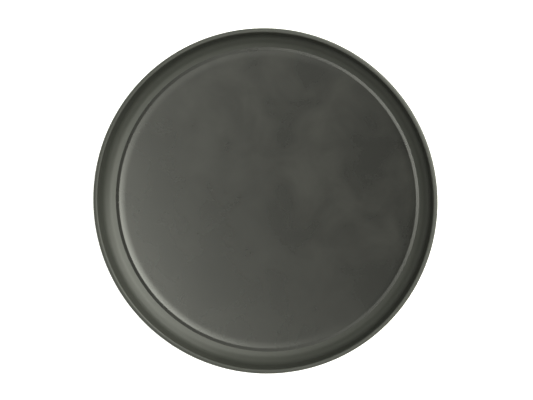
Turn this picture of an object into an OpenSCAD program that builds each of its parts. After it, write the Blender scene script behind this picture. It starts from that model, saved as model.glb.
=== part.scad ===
// Round serving tray: a moulded, gently dished shell with a thickened rim, and a non-slip
// rubber liner bonded to its floor.
// The origin is on the tray's axis, in the plane of the foot ring that it stands on. +Z is up.

/* [Shell] */
// Diameter over the rim
tray_d = 356; // [280:1:406]
// Thickness of the moulded wall and floor
wall_t = 2.4; // [2:0.1:3]
// Slope of the side wall above the horizontal
wall_angle = 78; // [66:1:82]
// Height of the straight part of the side wall
wall_rise = 10.8; // [8:0.2:16]
// Radius of the hollow cove between the edge curve and the side wall
cove_r = 12; // [4:0.5:13]

/* [Floor] */
// How far the middle of the floor lies below its edge
dish_depth = 5; // [1:0.25:6]
// Width in plan of the easy curve between the edge of the floor and the cove
edge_w = 14.75; // [12:0.25:20]
// Slope where the edge curve runs into the cove
edge_angle = 11.6; // [8:0.2:14]

/* [Rim] */
// Width of the rim
rim_w = 4.6; // [4.4:0.1:6]
// Height of the rim's outer face
rim_h = 4.5; // [3:0.1:6]
// Radius of the rim's outer top edge
rim_out_r = 1.5; // [0.6:0.1:1.6]
// Radius of the rim's inner top edge
rim_in_r = 1.2; // [0.3:0.1:1.2]

/* [Liner] */
// Thickness of the non-slip liner
liner_t = 0.6; // [0.5:0.1:2]
// Share of the edge curve that the liner covers
liner_reach = 0.72; // [0.5:0.01:0.95]
// Width of the bevel round the liner's top edge
bevel_w = 3.2; // [1:0.1:4]

/* [Foot ring] */
// How far the middle of the foot ring lies inside the edge of the floor
foot_inset = 7; // [4:1:40]
// Width of the flat face that the tray stands on
foot_w = 4; // [3:0.5:6]
// Gap between the middle of the floor and the surface that the tray stands on
foot_gap = 0.8; // [0.4:0.1:2]

/* [Stacking lugs] */
// Number of lugs under the rim, which keep stacked trays apart
lug_count = 8; // [4:1:16]
// Width of a lug along the rim
lug_w = 9; // [5:0.5:14]
// Share of the straight side wall that a lug runs down
lug_share = 0.6; // [0.5:0.05:0.9]

/* [Hidden] */

$fn = 180;
floor_steps = 8;
edge_steps = 4;
cove_steps = 12;
corner_steps = 4;
shell_colour = [0.235, 0.238, 0.222];
liner_colour = [0.275, 0.278, 0.26];

// In plan, the rim, the side wall, the cove and the edge curve lie between the outside and the
// floor.
rim_in_x = tray_d / 2 - rim_w + rim_in_r;
wall_top_x = rim_in_x - rim_in_r * sin(wall_angle);
wall_foot_x = wall_top_x - wall_rise / tan(wall_angle);
floor_r = wall_foot_x - cove_r * (sin(wall_angle) - sin(edge_angle)) - edge_w;

// The section runs outward from the axis as three hollow arcs and a straight, each tangent to
// the one before it: the dished floor, the edge curve, the cove and the side wall.
dish_r = (pow(floor_r, 2) + pow(dish_depth, 2)) / (2 * dish_depth);
dish_angle = asin(floor_r / dish_r);
dish_c = [0, foot_gap + wall_t + dish_r];
edge_r = edge_w / (sin(edge_angle) - sin(dish_angle));
edge_c = along(dish_c, dish_r - edge_r, dish_angle);
cove_c = along(edge_c, edge_r - cove_r, edge_angle);
wall_foot = along(cove_c, cove_r, wall_angle);

// The wall's inner face runs up into the rim's inner edge, and its outer face meets the underside.
rim_in_c = [rim_in_x, wall_foot[1] + wall_rise - rim_in_r * cos(wall_angle)];
tray_h = rim_in_c[1] + rim_in_r;
rim_out_c = [tray_d / 2 - rim_out_r, tray_h - rim_out_r];
rim_low_r = 0.8;
rim_low_z = tray_h - rim_h;
rim_low_c = [tray_d / 2 - rim_low_r, rim_low_z + rim_low_r];

// The liner ends part of the way up the edge curve.
liner_angle = dish_angle + (edge_angle - dish_angle) * liner_reach;
bevel_angle = liner_angle - bevel_w / edge_r * 180 / PI;

foot_draft = 1;
foot_chamfer = 0.6;
lug_h = (rim_low_z - wall_foot[1]) * lug_share;
lug_root = 1.4;
lug_inset = 1.2;
lug_toe = 0.8;

// The point at distance r from centre c where a hollow arc round c has slope a.
function along(c, r, a) = [c[0] + r * sin(a), c[1] - r * cos(a)];

function arc(c, r, from, to, steps) =
    [for (i = [0:steps]) along(c, r, from + (to - from) * i / steps)];

function after_first(list) = [for (i = [1:len(list) - 1]) list[i]];

function reversed(list) = [for (i = [len(list) - 1:-1:0]) list[i]];

// The outer face of the side wall at height z.
function wall_out_x(z) = wall_foot[0] + (z - wall_foot[1]) / tan(wall_angle) + wall_t / sin(wall_angle);

// The tray's upper face from the axis to slope `to` on the edge curve, moved t below itself.
function floor_curve(t, to) = concat(
    arc(dish_c, dish_r + t, 0, dish_angle, floor_steps),
    after_first(arc(edge_c, edge_r + t, dish_angle, to, edge_steps)));

// The same face from the axis to the foot of the side wall, with a point at the liner's edge.
function bowl_curve(t) = concat(
    floor_curve(t, liner_angle),
    arc(cove_c, cove_r + t, edge_angle, wall_angle, cove_steps));

// The rim from the top of the wall's inner face, over and down to the wall's outer face.
function rim_curve() = concat(
    arc(rim_in_c, rim_in_r, 180 + wall_angle, 180, corner_steps),
    arc(rim_out_c, rim_out_r, 180, 90, corner_steps),
    arc(rim_low_c, rim_low_r, 90, 0, corner_steps),
    [[wall_out_x(rim_low_z), rim_low_z]]);

module shell_section() {
    polygon(concat(bowl_curve(0), rim_curve(), reversed(bowl_curve(wall_t))));
}

// The foot ring has drafted sides and chamfered corners, and its top lies inside the floor.
module foot_section() {
    r = floor_r - foot_inset;
    half = foot_w / 2;
    mid_floor = dish_r + wall_t / 2;
    top = along(dish_c, mid_floor, asin(r / mid_floor))[1];
    polygon([
        [r - half, 0],
        [r + half, 0],
        [r + half + foot_chamfer, foot_chamfer],
        [r + half + foot_draft, top],
        [r - half - foot_draft, top],
        [r - half - foot_chamfer, foot_chamfer]]);
}

// A lug fills the corner between the side wall and the underside of the rim.
module lug_section() {
    face_x = tray_d / 2 - lug_inset;
    top_z = rim_low_z + rim_h / 2;
    toe_z = rim_low_z - lug_h;
    polygon([
        [wall_out_x(top_z) - lug_root, top_z],
        [face_x, top_z],
        [face_x, rim_low_z - lug_h / 2],
        [wall_out_x(toe_z) + lug_toe, toe_z],
        [wall_out_x(toe_z) - lug_root, toe_z]]);
}

module tray_body() {
    lug_angle = lug_w / (tray_d / 2) * 180 / PI;
    color(shell_colour) {
        rotate_extrude() shell_section();
        rotate_extrude() foot_section();
        for (i = [0:lug_count - 1])
            rotate([0, 0, (i + 0.5) * 360 / lug_count - lug_angle / 2])
                rotate_extrude(angle = lug_angle) lug_section();
    }
}

module grip_liner() {
    color(liner_colour) rotate_extrude() polygon(concat(
        floor_curve(0, liner_angle),
        reversed(floor_curve(-liner_t, bevel_angle))));
}

tray_body();
grip_liner();
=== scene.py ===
"""A round serving tray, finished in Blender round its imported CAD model.

The tray is turned about the Z axis of the frame. All lengths are in metres, and mm turns a size
in millimetres into metres.
"""

from math import asin, cos, pi, radians, sin, tan

import bpy
from mathutils import Matrix, Vector


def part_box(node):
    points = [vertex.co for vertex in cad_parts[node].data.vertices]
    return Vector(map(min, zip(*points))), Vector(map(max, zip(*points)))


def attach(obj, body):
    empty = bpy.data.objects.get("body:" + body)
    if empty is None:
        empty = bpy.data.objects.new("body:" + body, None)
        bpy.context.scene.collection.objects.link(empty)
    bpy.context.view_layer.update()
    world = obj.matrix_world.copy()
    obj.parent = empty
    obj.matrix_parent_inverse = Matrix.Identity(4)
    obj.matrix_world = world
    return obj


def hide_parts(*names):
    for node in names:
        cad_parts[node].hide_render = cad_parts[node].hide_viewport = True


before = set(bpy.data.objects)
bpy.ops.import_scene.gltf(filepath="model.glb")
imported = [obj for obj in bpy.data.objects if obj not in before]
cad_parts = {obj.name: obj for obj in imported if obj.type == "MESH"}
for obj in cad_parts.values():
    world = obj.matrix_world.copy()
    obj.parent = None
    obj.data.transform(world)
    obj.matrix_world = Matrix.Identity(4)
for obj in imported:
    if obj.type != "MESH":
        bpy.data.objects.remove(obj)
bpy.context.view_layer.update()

mm = 0.001


# ---------------------------------------------------------------------------------------------
# Tray body. One compression moulding of glass-filled polyester with a dished floor, an easy
# curve and a tighter cove into the side wall, and a flat-topped rim. It stands on a foot ring,
# and the lugs under its rim keep stacked trays apart.
# ---------------------------------------------------------------------------------------------

tray_low, tray_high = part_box("tray_body")
tray_r = tray_high[0]

wall_t = 2.4 * mm
wall_angle, wall_rise = radians(78), 10.8 * mm
cove_r = 12 * mm
dish_depth = 5 * mm
edge_w, edge_angle = 14.75 * mm, radians(11.6)
rim_w, rim_h = 4.6 * mm, 4.5 * mm
rim_out_r, rim_in_r, rim_low_r = 1.5 * mm, 1.2 * mm, 0.8 * mm
foot_inset, foot_w, foot_gap = 7 * mm, 4 * mm, 0.8 * mm
foot_draft, foot_chamfer = 1 * mm, 0.6 * mm
lug_count, lug_w, lug_share = 8, 9 * mm, 0.6
lug_inset, lug_toe, lug_easing = 1.2 * mm, 0.8 * mm, 0.8 * mm

# How finely each stretch of the section and each turn is drawn, and the bend left crisp.
dish_steps, edge_steps, cove_steps, wall_steps = 40, 16, 24, 8
rim_in_steps, rim_out_steps, rim_low_steps = 10, 12, 8
turn_steps = 360
crease = radians(35)


def along(centre, r, slope):
    """The point at distance r from centre where a hollow arc round it has this slope."""
    return Vector((centre[0] + r * sin(slope), centre[1] - r * cos(slope)))


def arc(centre, r, start, end, steps):
    """Points along a hollow arc, from one slope to another."""
    return [along(centre, r, start + (end - start) * i / steps) for i in range(steps + 1)]


def line(a, b, steps):
    """Points along a straight, both ends included."""
    return [a.lerp(b, i / steps) for i in range(steps + 1)]


def eased(corners, r, steps=5):
    """An open outline with each inner corner rounded by a short curve of about radius r."""
    longest_share = 0.45
    out = [corners[0]]
    for before, corner, after in zip(corners, corners[1:], corners[2:]):
        into, away = corner - before, after - corner
        reach = min(r * tan(into.angle(away) / 2), into.length * longest_share, away.length * longest_share)
        a = corner - into.normalized() * reach
        b = corner + away.normalized() * reach
        for i in range(steps + 1):
            t = i / steps
            out.append(a.lerp(corner, t).lerp(corner.lerp(b, t), t))
    return out + [corners[-1]]


def spaced(outline, count):
    """The outline again, as count points at even distances along it."""
    ends = [0.0]
    for a, b in zip(outline, outline[1:]):
        ends.append(ends[-1] + (b - a).length)
    out, seg = [], 0
    for i in range(count):
        want = ends[-1] * i / (count - 1)
        while seg < len(outline) - 2 and ends[seg + 1] < want:
            seg += 1
        share = (want - ends[seg]) / (ends[seg + 1] - ends[seg])
        out.append(outline[seg].lerp(outline[seg + 1], min(share, 1.0)))
    return out


def turned(name, outline_at, angles):
    """A closed turned mesh. The outline runs from the axis to the axis, top face first."""
    rings = [outline_at(a) for a in angles]
    inner = len(rings[0]) - 2
    verts = [(0, 0, rings[0][0].y), (0, 0, rings[0][-1].y)]
    for a, ring in zip(angles, rings):
        verts += [(p.x * cos(a), p.x * sin(a), p.y) for p in ring[1:-1]]
    faces = []
    for i in range(len(angles)):
        here, there = 2 + i * inner, 2 + (i + 1) % len(angles) * inner
        faces.append((0, here, there))
        faces += [(here + k, here + k + 1, there + k + 1, there + k) for k in range(inner - 1)]
        faces.append((1, there + inner - 1, here + inner - 1))
    mesh = bpy.data.meshes.new(name)
    mesh.from_pydata(verts, [], faces)
    mesh.validate()
    mesh.shade_smooth()
    mesh.set_sharp_from_angle(angle=crease)
    piece = bpy.data.objects.new(name, mesh)
    bpy.context.collection.objects.link(piece)
    return piece


# In plan, the rim, the side wall, the cove and the edge curve lie between the outside and the
# floor. The section runs outward from the axis as three hollow arcs and a straight, and the rim
# hangs from the top of the frame's box.
rim_in_x = tray_r - rim_w + rim_in_r
wall_foot_x = rim_in_x - rim_in_r * sin(wall_angle) - wall_rise / tan(wall_angle)
floor_r = wall_foot_x - cove_r * (sin(wall_angle) - sin(edge_angle)) - edge_w

dish_r = (floor_r ** 2 + dish_depth ** 2) / (2 * dish_depth)
dish_angle = asin(floor_r / dish_r)
dish_c = Vector((0, foot_gap + wall_t + dish_r))
edge_r = edge_w / (sin(edge_angle) - sin(dish_angle))
edge_c = along(dish_c, dish_r - edge_r, dish_angle)
cove_c = along(edge_c, edge_r - cove_r, edge_angle)
wall_foot = along(cove_c, cove_r, wall_angle)
tray_h = tray_high[2]
rim_in_c = Vector((rim_in_x, tray_h - rim_in_r))
wall_top = along(rim_in_c, rim_in_r, pi + wall_angle)
rim_low_z = tray_h - rim_h
rim_out_c = Vector((tray_r - rim_out_r, tray_h - rim_out_r))
rim_low_c = Vector((tray_r - rim_low_r, rim_low_z + rim_low_r))


def bowl(t):
    """The upper face from the axis to the foot of the side wall, moved t below itself."""
    dish = arc(dish_c, dish_r + t, 0, dish_angle, dish_steps)
    edge = arc(edge_c, edge_r + t, dish_angle, edge_angle, edge_steps)
    cove = arc(cove_c, cove_r + t, edge_angle, wall_angle, cove_steps)
    return dish + edge[1:] + cove[1:]


def wall_out(z):
    """The point at this height on the outer face of the side wall."""
    slant = (z - wall_foot.y) / tan(wall_angle)
    return Vector((wall_foot.x + slant + wall_t / sin(wall_angle), z))


upper = (bowl(0)
         + line(wall_foot, wall_top, wall_steps)[1:-1]
         + arc(rim_in_c, rim_in_r, pi + wall_angle, pi, rim_in_steps)
         + arc(rim_out_c, rim_out_r, pi, pi / 2, rim_out_steps)
         + arc(rim_low_c, rim_low_r, pi / 2, 0, rim_low_steps))

# The outside of the wall, plain and with a lug in the corner under the rim.
side_steps = 28
lug_h = (rim_low_z - wall_foot.y) * lug_share
toe = wall_out(rim_low_z - lug_h)
below_toe = wall_out(toe.y - lug_easing)
lug_top = Vector((tray_r - lug_inset, rim_low_z))
plain_side = spaced(eased([lug_top, wall_out(rim_low_z), below_toe], lug_easing), side_steps)
lug_side = spaced(eased([
    lug_top,
    lug_top - Vector((0, lug_h / 2)),
    toe + Vector((lug_toe, 0)),
    toe,
    below_toe], lug_easing), side_steps)


def under_dish(r):
    """The point at distance r from the axis on the underside of the floor."""
    return along(dish_c, dish_r + wall_t, asin(r / (dish_r + wall_t)))


# The foot ring, from outside to inside, run into the underside with small fillets.
foot_mid = floor_r - foot_inset
foot_out, foot_in = foot_mid + foot_w / 2, foot_mid - foot_w / 2
foot_fillet, foot_margin = 2 * mm, 1 * mm
foot_corner_steps, lower_wall_steps = 4, 6
foot = eased([
    under_dish(foot_out + foot_draft + foot_fillet),
    under_dish(foot_out + foot_draft),
    Vector((foot_out + foot_chamfer, foot_chamfer)),
    Vector((foot_out, 0)),
    Vector((foot_in, 0)),
    Vector((foot_in - foot_chamfer, foot_chamfer)),
    under_dish(foot_in - foot_draft),
    under_dish(foot_in - foot_draft - foot_fillet)], foot_chamfer, foot_corner_steps)
under = list(reversed(bowl(wall_t)))
outside = [p for p in under if p.x > foot[0].x + foot_margin and p.y < below_toe.y]
inside = [p for p in under if p.x < foot[-1].x - foot_margin]
lower = line(below_toe, outside[0], lower_wall_steps)[1:-1] + outside + foot + inside


def ramp(x, low, high):
    """An even rise from 0 to 1 between two values of x, level at both ends."""
    x = min(max((x - low) / (high - low), 0), 1)
    return x * x * (3 - 2 * x)


lug_side_w = 0.5 * mm
lug_side_steps = 3


def body_outline(angle):
    """The section at this angle round the tray: plain, or pushed out where there is a lug."""
    pitch = 2 * pi / lug_count
    off = abs((angle % pitch) - pitch / 2) * lug_top.x
    share = 1 - ramp(off, lug_w / 2 - lug_side_w, lug_w / 2 + lug_side_w)
    side = [a.lerp(b, share) for a, b in zip(plain_side, lug_side)]
    return upper + side + lower


# Even steps round the tray, with finer ones down the two sides of each lug.
even = [2 * pi * i / turn_steps for i in range(turn_steps)]
lug_sides = []
for i in range(lug_count):
    for side in (-1, 1):
        for step in range(-lug_side_steps - 1, lug_side_steps + 2):
            off = side * (lug_w / 2 + step * lug_side_w / lug_side_steps) / lug_top.x
            lug_sides.append((i + 0.5) * 2 * pi / lug_count + off)
angles = sorted({round(a % (2 * pi), 6) for a in even + lug_sides})
body = turned("tray_shell", body_outline, angles)
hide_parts("tray_body")
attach(body, "root")


def linear(hex_colour):
    """An sRGB hex colour as the linear values that a node takes."""
    parts = [int(hex_colour[i:i + 2], 16) / 255 for i in (1, 3, 5)]
    return tuple(c / 12.92 if c <= 0.04045 else ((c + 0.055) / 1.055) ** 2.4 for c in parts) + (1,)


def add(tree, kind, settings=(), links=()):
    """Adds a node. A key names one of its inputs, by name or number, or one of its properties."""
    node = tree.nodes.new(kind)
    for key, value in dict(settings).items():
        if isinstance(key, int) or key in node.inputs:
            node.inputs[key].default_value = value
        else:
            setattr(node, key, value)
    for key, source in dict(links).items():
        tree.links.new(source, node.inputs[key])
    return node


def new_tree(owner):
    owner.use_nodes = True
    owner.node_tree.nodes.clear()
    return owner.node_tree


# Glass-filled polyester, pressed in a blasted steel mould. It gives a smooth, dark, satin face
# with a wide dull highlight, faint clouds where the charge flowed, and a fine even grain. The
# rim's outer rounding is rubbed a little duller by stacking, in patches, and painted paler there:
# part wear, part a painted highlight along the outer edge.
cloud_size = 70 * mm
rub_and_highlight_size, rub_and_highlight_full = 9 * mm, 0.2 * mm
# The mould's grain is about 0.3 mm, too fine to show, so it is drawn four times as coarse.
grain_size, grain_depth = 1.2 * mm, 0.001 * mm
material = bpy.data.materials.new("moulded_polyester")
tree = new_tree(material)
place = add(tree, "ShaderNodeTexCoord").outputs["Object"]
cloud = add(tree, "ShaderNodeTexNoise", {
    "Scale": 1 / cloud_size, "Detail": 3.0, "Distortion": 0.8}, {"Vector": place})
tint = add(tree, "ShaderNodeMix", {
    "data_type": "RGBA",
    6: linear("#252623"),
    7: linear("#2b2c29")}, {"Factor": cloud.outputs["Fac"]})
axes = add(tree, "ShaderNodeSeparateXYZ", links={"Vector": place}).outputs
flat = add(tree, "ShaderNodeCombineXYZ", links={"X": axes["X"], "Y": axes["Y"]})
off_axis = add(tree, "ShaderNodeVectorMath", {"operation": "LENGTH"}, {0: flat.outputs["Vector"]})
# Rim's outer rounding, in patches: duller from stacking wear, paler partly as a painted highlight.
edge = add(tree, "ShaderNodeMapRange", {
    "From Min": tray_r - rim_out_r,
    "From Max": tray_r - rub_and_highlight_full}, {"Value": off_axis.outputs["Value"]})
patchy = add(tree, "ShaderNodeTexNoise", {"Scale": 1 / rub_and_highlight_size, "Detail": 4.0}, {"Vector": place})
rub_and_highlight = add(tree, "ShaderNodeMath", {"operation": "MULTIPLY"}, {
    0: edge.outputs["Result"], 1: patchy.outputs["Fac"]})
colour = add(tree, "ShaderNodeMix", {"data_type": "RGBA", 7: linear("#454642")}, {
    "Factor": rub_and_highlight.outputs["Value"], 6: tint.outputs[2]})
dull = add(tree, "ShaderNodeMath", {"operation": "ADD", "use_clamp": True}, {
    0: cloud.outputs["Fac"], 1: rub_and_highlight.outputs["Value"]})
rough = add(tree, "ShaderNodeMapRange", {
    "To Min": 0.39, "To Max": 0.45}, {"Value": dull.outputs["Value"]})
grain = add(tree, "ShaderNodeTexNoise", {"Scale": 1 / grain_size, "Detail": 1.0}, {"Vector": place})
bump = add(tree, "ShaderNodeBump", {"Distance": grain_depth}, {"Height": grain.outputs["Fac"]})
shader = add(tree, "ShaderNodeBsdfPrincipled", {"IOR": 1.5, "Specular IOR Level": 0.38}, {
    "Base Color": colour.outputs[2],
    "Roughness": rough.outputs["Result"],
    "Normal": bump.outputs["Normal"]})
add(tree, "ShaderNodeOutputMaterial", links={"Surface": shader.outputs["BSDF"]})
body.data.materials.append(material)


# ---------------------------------------------------------------------------------------------
# Non-slip liner. A thin sheet of smooth black rubber, moulded so that it thins to nothing over a
# wide bevel, and bonded to the floor and a little way up the curve round it.
# ---------------------------------------------------------------------------------------------

liner_t = 0.6 * mm
liner_reach = 0.72
bevel_w = 3.2 * mm
edge_easing, eased_points, eased_steps = 4 * mm, 4, 8
liner_edge_steps = 12

liner_angle = dish_angle + (edge_angle - dish_angle) * liner_reach
bevel_angle = liner_angle - bevel_w / edge_r
liner_top = (arc(dish_c, dish_r - liner_t, 0, dish_angle, dish_steps)
             + arc(edge_c, edge_r - liner_t, dish_angle, bevel_angle, liner_edge_steps)[1:])
liner_under = (arc(dish_c, dish_r, 0, dish_angle, dish_steps)
               + arc(edge_c, edge_r, dish_angle, liner_angle, liner_edge_steps)[1:])

# The corner between the top and the bevel is a long soft curve. The thin edge stays crisp.
liner_edge = eased([liner_top[-eased_points], liner_top[-1], liner_under[-1]], edge_easing, eased_steps)
liner_outline = liner_top[:-eased_points] + liner_edge + liner_under[-2::-1]
liner = turned("liner_sheet", lambda angle: liner_outline, even)
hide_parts("grip_liner")
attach(liner, "root")

# Smooth black rubber, moulded against polished steel. It is glossier than the shell, and soft
# cloudy smears show where hands and cloths have left a thin paler, duller film, mostly toward
# the far right.
smear_size = 45 * mm
smear_fade = 130 * mm
# The rubber's grain is about 0.2 mm, too fine to show, so it is drawn five times as coarse.
skin_size, skin_depth = 1 * mm, 0.0007 * mm
material = bpy.data.materials.new("smooth_black_rubber")
tree = new_tree(material)
place = add(tree, "ShaderNodeTexCoord").outputs["Object"]
smear = add(tree, "ShaderNodeTexNoise", {
    "noise_dimensions": "4D",
    "W": 2.2,
    "Scale": 1 / smear_size,
    "Detail": 4.0,
    "Roughness": 0.55,
    "Distortion": 0.5}, {"Vector": place})
far_right = add(tree, "ShaderNodeVectorMath", {
    "operation": "DOT_PRODUCT", 1: (0.7, 0.7, 0)}, {0: place})
handled = add(tree, "ShaderNodeMapRange", {
    "From Min": -smear_fade / 2,
    "From Max": smear_fade / 2,
    "To Min": 0.25,
    "To Max": 1.0}, {"Value": far_right.outputs["Value"]})
film = add(tree, "ShaderNodeMapRange", {"From Min": 0.38, "From Max": 0.8, "To Min": 0.0}, {
    "Value": smear.outputs["Fac"],
    "To Max": handled.outputs["Result"]})
tint = add(tree, "ShaderNodeMix", {
    "data_type": "RGBA",
    6: linear("#1c1c1b"),
    7: linear("#2c2c2a")}, {"Factor": film.outputs["Result"]})
rough = add(tree, "ShaderNodeMapRange", {
    "To Min": 0.21, "To Max": 0.24}, {"Value": film.outputs["Result"]})
skin = add(tree, "ShaderNodeTexNoise", {"Scale": 1 / skin_size, "Detail": 1.0}, {"Vector": place})
bump = add(tree, "ShaderNodeBump", {"Distance": skin_depth}, {"Height": skin.outputs["Fac"]})
shader = add(tree, "ShaderNodeBsdfPrincipled", {"IOR": 1.5, "Specular IOR Level": 0.45}, {
    "Base Color": tint.outputs[2],
    "Roughness": rough.outputs["Result"],
    "Normal": bump.outputs["Normal"]})
add(tree, "ShaderNodeOutputMaterial", links={"Surface": shader.outputs["BSDF"]})
liner.data.materials.append(material)


# ---------------------------------------------------------------------------------------------
# Studio. A pale card under the tray, a white room with a paler ring of ceiling above the tray,
# two soft lamps from the far right, and a camera almost straight above.
# ---------------------------------------------------------------------------------------------

scene = bpy.context.scene
scene.view_settings.view_transform = "Standard"


def toward(tilt, azimuth):
    """The unit vector leaning this many degrees from the vertical, toward this azimuth."""
    tilt, azimuth = radians(tilt), radians(azimuth)
    return Vector((sin(tilt) * cos(azimuth), sin(tilt) * sin(azimuth), cos(tilt)))


# Matt white card, which glows a little so that the tray leaves only a faint shadow on it.
card_half = 4.0
mesh = bpy.data.meshes.new("card")
corners = [(-card_half, -card_half, 0), (card_half, -card_half, 0),
           (card_half, card_half, 0), (-card_half, card_half, 0)]
mesh.from_pydata(corners, [], [(0, 1, 2, 3)])
card = bpy.data.objects.new("card", mesh)
bpy.context.collection.objects.link(card)
material = bpy.data.materials.new("white_card")
tree = new_tree(material)
shader = add(tree, "ShaderNodeBsdfPrincipled", {
    "Base Color": linear("#f4f4f4"),
    "Roughness": 0.9,
    "Emission Color": linear("#ffffff"),
    "Emission Strength": 0.6})
add(tree, "ShaderNodeOutputMaterial", links={"Surface": shader.outputs["BSDF"]})
mesh.materials.append(material)

# The room seen direct is plain white. What it throws on the tray is a weak light from the walls,
# which fades upward, and a ring of pale ceiling round a darker patch. The ring is missing on the
# side away from the lamps. Both edges of the ring are soft, and are given in degrees from the
# middle of the patch.
lamp_white = linear("#fdfff2")
patch = toward(9, 210)
ring_in_start, ring_in_full = 4, 13
ring_out_full, ring_out_end = 12, 20
ring_strength = 4.0
scene.world = bpy.data.worlds.new("studio")
tree = new_tree(scene.world)
ray = add(tree, "ShaderNodeTexCoord").outputs["Generated"]
axes = add(tree, "ShaderNodeSeparateXYZ", links={"Vector": ray}).outputs
from_patch = add(tree, "ShaderNodeVectorMath", {
    "operation": "DOT_PRODUCT", 1: patch}, {0: ray}).outputs["Value"]
ring_inside = add(tree, "ShaderNodeMapRange", {
    "From Min": cos(radians(ring_in_full)),
    "From Max": cos(radians(ring_in_start)),
    "To Min": 1.0,
    "To Max": 0.0}, {"Value": from_patch})
ring_outside = add(tree, "ShaderNodeMapRange", {
    "From Min": cos(radians(ring_out_end)),
    "From Max": cos(radians(ring_out_full)),
    "To Min": 0.0,
    "To Max": ring_strength}, {"Value": from_patch})
lamp_side = add(tree, "ShaderNodeMapRange", {
    "From Min": -0.3, "From Max": -0.14}, {"Value": axes["X"]})
walls = add(tree, "ShaderNodeMapRange", {
    "From Min": 0.1, "From Max": 0.8, "To Min": 1.3, "To Max": 0.08}, {"Value": axes["Z"]})
part_ring = add(tree, "ShaderNodeMath", {"operation": "MULTIPLY"}, {
    0: ring_inside.outputs["Result"],
    1: lamp_side.outputs["Result"]})
thrown = add(tree, "ShaderNodeMath", {"operation": "MULTIPLY_ADD"}, {
    0: part_ring.outputs["Value"],
    1: ring_outside.outputs["Result"],
    2: walls.outputs["Result"]})
seen = add(tree, "ShaderNodeLightPath").outputs["Is Camera Ray"]
strength = add(tree, "ShaderNodeMix", {"data_type": "FLOAT", "B": 1.0}, {
    "Factor": seen,
    "A": thrown.outputs["Value"]})
tone = add(tree, "ShaderNodeMix", {
    "data_type": "RGBA", 6: lamp_white, 7: (1, 1, 1, 1)}, {"Factor": seen})
room = add(tree, "ShaderNodeBackground", links={
    "Color": tone.outputs[2],
    "Strength": strength.outputs["Result"]})
add(tree, "ShaderNodeOutputWorld", links={"Surface": room.outputs["Background"]})


def lamp(name, energy, spread, tilt, azimuth):
    """A very distant soft lamp, as wide across as this many degrees."""
    light = bpy.data.lights.new(name, "SUN")
    light.energy = energy
    light.angle = radians(spread)
    light.color = lamp_white[:3]
    piece = bpy.data.objects.new(name, light)
    bpy.context.collection.objects.link(piece)
    piece.rotation_mode = "QUATERNION"
    piece.rotation_quaternion = toward(tilt, azimuth).to_track_quat("Z", "Y")


# The high lamp makes the highlight at the near left of the floor, and the low one lights the
# side wall there.
lamp("high_lamp", energy=3.35, spread=37, tilt=19, azimuth=24)
lamp("low_lamp", energy=4.0, spread=70, tilt=65, azimuth=35)

# The camera leans a little to the far right, with the tray across this share of the frame.
tray_share = 0.651
camera_distance = 3.2
camera_lean, camera_azimuth = 8, 35
aim = Vector((2.4 * mm, 1.8 * mm, tray_h))
camera = bpy.data.objects.new("camera", bpy.data.cameras.new("camera"))
bpy.context.collection.objects.link(camera)
scene.camera = camera
camera.data.lens = camera.data.sensor_width * tray_share * camera_distance / (2 * tray_r)
back = toward(camera_lean, camera_azimuth)
right = Vector((0, 1, 0)).cross(back).normalized()
camera.location = aim + back * camera_distance
camera.rotation_mode = "QUATERNION"
camera.rotation_quaternion = Matrix((right, back.cross(right), back)).transposed().to_quaternion()
